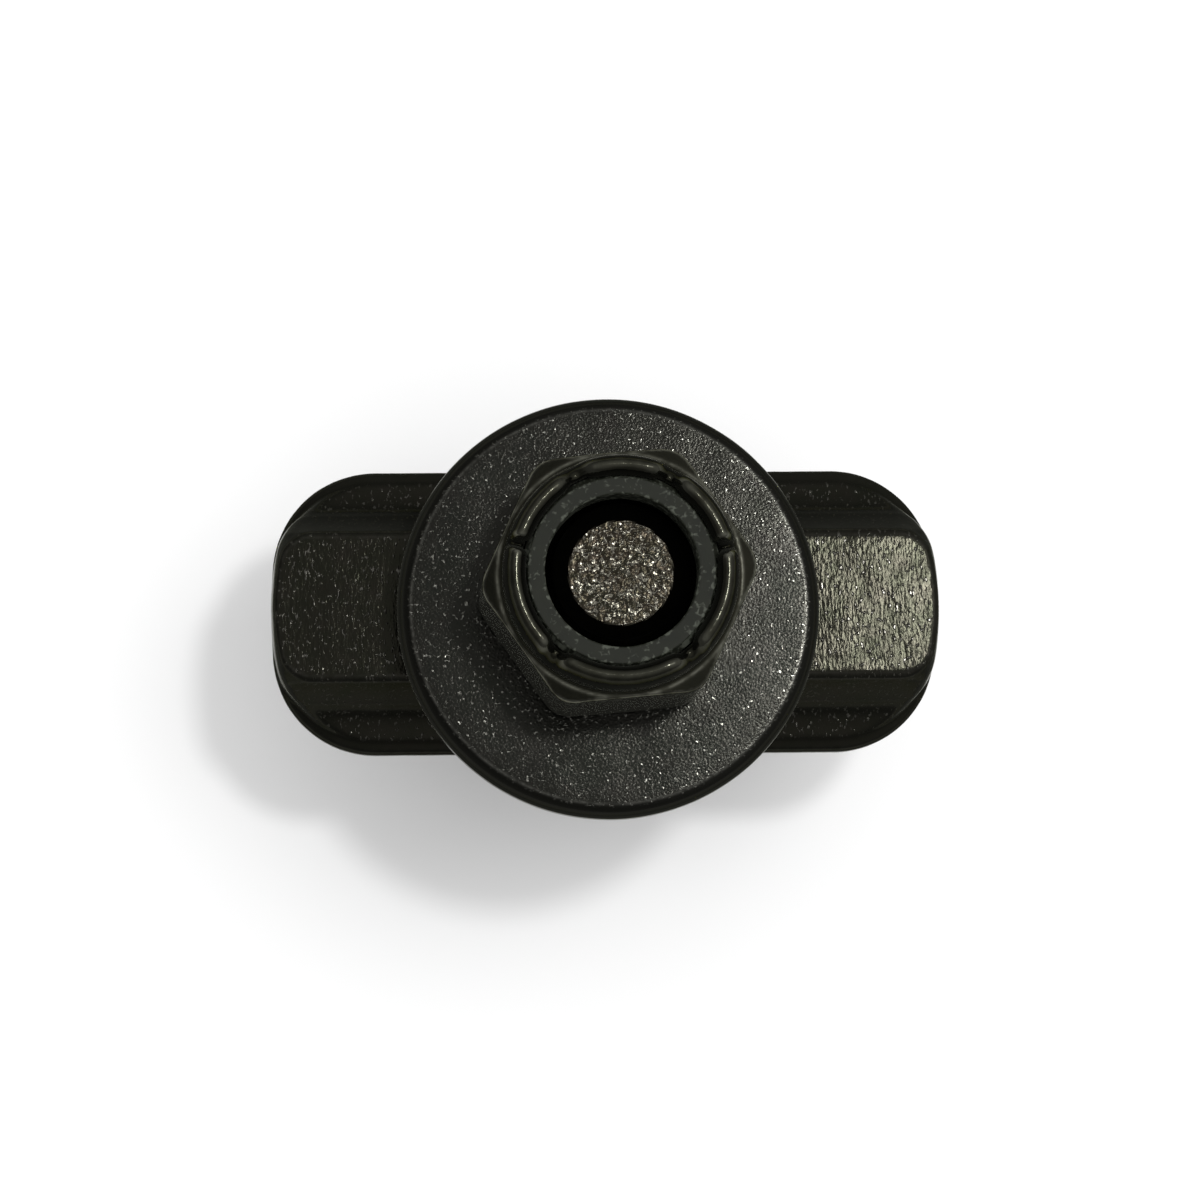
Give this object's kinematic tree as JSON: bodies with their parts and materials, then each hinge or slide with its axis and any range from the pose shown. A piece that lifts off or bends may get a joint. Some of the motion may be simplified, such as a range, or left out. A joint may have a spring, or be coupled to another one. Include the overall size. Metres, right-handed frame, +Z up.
{
  "type": "wing nut",
  "caption": "Stubby forged wing nut running on a hex bolt, kept captive by a flat washer and a nylon-insert lock nut.",
  "frame": {"origin": "centre of the bolt head's outer flat face", "axes": "+Z up the bolt towards its threaded end and the lock nut, +X along the wings"},
  "size_m": [0.0412, 0.0254, 0.0395],
  "materials": {
    "bolt_steel": "black oxide, oiled",
    "forged_steel": "black oxide over a blasted forging",
    "washer_steel": "black oxide, grainy",
    "lock_nut_steel": "black oxide, glossy with oil",
    "nylon": "matte"
  },
  "bodies": {
    "bolt": {"hex_bolt": "bolt_steel"},
    "washer": {"flat_washer": "washer_steel"},
    "wing_nut": {"wing_nut": "forged_steel"},
    "insert": {"nylon_insert": "nylon"},
    "lock_nut": {"lock_nut": "lock_nut_steel"}
  },
  "joints": [
    {"name": "wing_nut_travel", "type": "slide", "parent": "bolt", "child": "washer", "axis": [0, 0, 1], "range_m": [-0.0061, 0]},
    {"name": "wing_nut_turn", "type": "hinge", "parent": "washer", "child": "wing_nut", "pos_m": [0, 0, 0.019], "axis": [0, 0, 1], "range_deg": [-1380, 0]},
    {"name": "lock_nut_travel", "type": "slide", "parent": "bolt", "child": "insert", "axis": [0, 0, 1], "range_m": [0, 0.0101]},
    {"name": "lock_nut_turn", "type": "hinge", "parent": "insert", "child": "lock_nut", "pos_m": [0, 0, 0.0335], "axis": [0, 0, 1], "range_deg": [0, 2268]}
  ],
  "couplings": [
    {"joint": "wing_nut_travel", "follows": "wing_nut_turn", "m_per_rad": 0.00025266},
    {"joint": "lock_nut_travel", "follows": "lock_nut_turn", "m_per_rad": 0.00025266}
  ]
}
